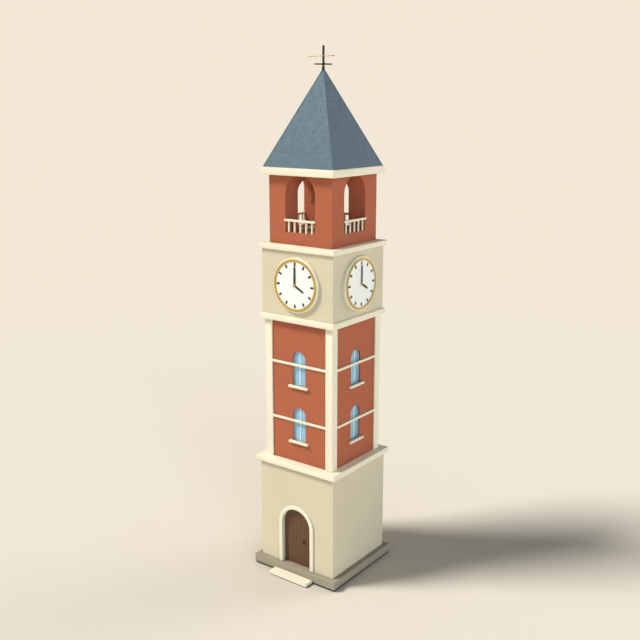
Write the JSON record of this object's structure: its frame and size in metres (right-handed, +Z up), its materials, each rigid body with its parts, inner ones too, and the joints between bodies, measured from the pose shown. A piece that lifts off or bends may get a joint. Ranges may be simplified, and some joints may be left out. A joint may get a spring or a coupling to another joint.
{
  "type": "clock tower",
  "caption": "Square clock tower with a plinth, arched door, brick shaft, four dials, open belfry with a bell, and a pyramid roof with a vane.",
  "frame": {"origin": "centre of the plinth's underside, on the ground", "axes": "+Z up, the door faces -Y, +X to the right seen from the front"},
  "size_m": [4.04, 4.44, 20.72],
  "materials": {
    "plinth_stone": "matte",
    "base_render": "matte",
    "cream_trim": "matte",
    "cream_trim_painted": "satin",
    "terracotta_brick": "matte",
    "door_wood": "satin",
    "dark_iron": "satin",
    "floor_concrete": "matte",
    "window_frame": "satin",
    "window_glass": "gloss",
    "dial_enamel": "satin",
    "gilt": "satin",
    "hand_black": "satin",
    "bell_bronze": "satin",
    "oak_beam": "matte",
    "roof_slate": "matte"
  },
  "bodies": {
    "root": {"plinth": "plinth_stone", "door_step": "cream_trim", "base_front_left": "base_render", "base_front_right": "base_render", "base_front_head": "base_render", "base_wall_back": "base_render", "base_walls_sides": "base_render", "door_surround": "cream_trim", "door_pintles": "dark_iron", "lower_cornice": "cream_trim", "shaft_walls_front_back": "terracotta_brick", "shaft_walls_sides": "terracotta_brick", "shaft_pilasters": "cream_trim", "shaft_floor": "floor_concrete", "window_frames": "window_frame", "window_glass": "window_glass", "string_courses": "cream_trim", "window_sills": "cream_trim", "middle_cornice": "cream_trim", "clock_walls_front_back": "base_render", "clock_walls_sides": "base_render", "clock_surrounds": "cream_trim", "clock_dials": "dial_enamel", "clock_bezels": "gilt", "upper_cornice": "cream_trim", "belfry_piers": "terracotta_brick", "belfry_vault": "terracotta_brick", "belfry_parapets": "terracotta_brick", "belfry_deck": "floor_concrete", "belfry_railings": "cream_trim_painted", "eaves_slab": "cream_trim", "bell_hangers": "dark_iron", "roof_slopes_front_back": "roof_slate", "roof_slopes_sides": "roof_slate", "finial_mast": "dark_iron"},
    "door": {"door_leaf": "door_wood", "door_knobs": "dark_iron", "door_straps": "dark_iron"},
    "bell": {"bell": "bell_bronze", "bell_headstock": "oak_beam"},
    "clapper": {"bell_clapper": "dark_iron"},
    "vane": {"vane_arrow": "gilt"},
    "minute_hand_front": {"minute_hand_front": "hand_black"},
    "hour_hand_front": {"hour_hand_front": "hand_black"},
    "minute_hand_right": {"minute_hand_right": "hand_black"},
    "hour_hand_right": {"hour_hand_right": "hand_black"},
    "minute_hand_back": {"minute_hand_back": "hand_black"},
    "hour_hand_back": {"hour_hand_back": "hand_black"},
    "minute_hand_left": {"minute_hand_left": "hand_black"},
    "hour_hand_left": {"hour_hand_left": "hand_black"}
  },
  "joints": [
    {"name": "door_hinge", "type": "hinge", "parent": "root", "child": "door", "pos_m": [-0.754, -1.595, 1], "axis": [0, 0, 1], "range_deg": [0, 100]},
    {"name": "minute_hand_front_spin", "type": "hinge", "parent": "root", "child": "minute_hand_front", "pos_m": [0, -1.683, 11.995], "axis": [0, 1, 0], "continuous": true},
    {"name": "hour_hand_front_spin", "type": "hinge", "parent": "root", "child": "hour_hand_front", "pos_m": [0, -1.683, 11.995], "axis": [0, 1, 0], "continuous": true},
    {"name": "minute_hand_right_spin", "type": "hinge", "parent": "root", "child": "minute_hand_right", "pos_m": [1.683, 0, 11.995], "axis": [-1, 0, 0], "continuous": true},
    {"name": "hour_hand_right_spin", "type": "hinge", "parent": "root", "child": "hour_hand_right", "pos_m": [1.683, 0, 11.995], "axis": [-1, 0, 0], "continuous": true},
    {"name": "minute_hand_back_spin", "type": "hinge", "parent": "root", "child": "minute_hand_back", "pos_m": [0, 1.683, 11.995], "axis": [0, -1, 0], "continuous": true},
    {"name": "hour_hand_back_spin", "type": "hinge", "parent": "root", "child": "hour_hand_back", "pos_m": [0, 1.683, 11.995], "axis": [0, -1, 0], "continuous": true},
    {"name": "minute_hand_left_spin", "type": "hinge", "parent": "root", "child": "minute_hand_left", "pos_m": [-1.683, 0, 11.995], "axis": [1, 0, 0], "continuous": true},
    {"name": "hour_hand_left_spin", "type": "hinge", "parent": "root", "child": "hour_hand_left", "pos_m": [-1.683, 0, 11.995], "axis": [1, 0, 0], "continuous": true},
    {"name": "vane_spin", "type": "hinge", "parent": "root", "child": "vane", "pos_m": [0, 0, 20.342], "axis": [0, 0, 1], "continuous": true},
    {"name": "bell_swing", "type": "hinge", "parent": "root", "child": "bell", "pos_m": [0, 0, 15.83], "axis": [1, 0, 0], "range_deg": [-45, 45]},
    {"name": "clapper_swing", "type": "hinge", "parent": "bell", "child": "clapper", "pos_m": [0, 0, 15.601], "axis": [1, 0, 0], "range_deg": [-25, 25]}
  ],
  "couplings": [
    {"joint": "hour_hand_front_spin", "follows": "minute_hand_front_spin", "ratio": 0.083333},
    {"joint": "minute_hand_right_spin", "follows": "minute_hand_front_spin", "ratio": 1},
    {"joint": "hour_hand_right_spin", "follows": "minute_hand_front_spin", "ratio": 0.083333},
    {"joint": "minute_hand_back_spin", "follows": "minute_hand_front_spin", "ratio": 1},
    {"joint": "hour_hand_back_spin", "follows": "minute_hand_front_spin", "ratio": 0.083333},
    {"joint": "minute_hand_left_spin", "follows": "minute_hand_front_spin", "ratio": 1},
    {"joint": "hour_hand_left_spin", "follows": "minute_hand_front_spin", "ratio": 0.083333}
  ]
}
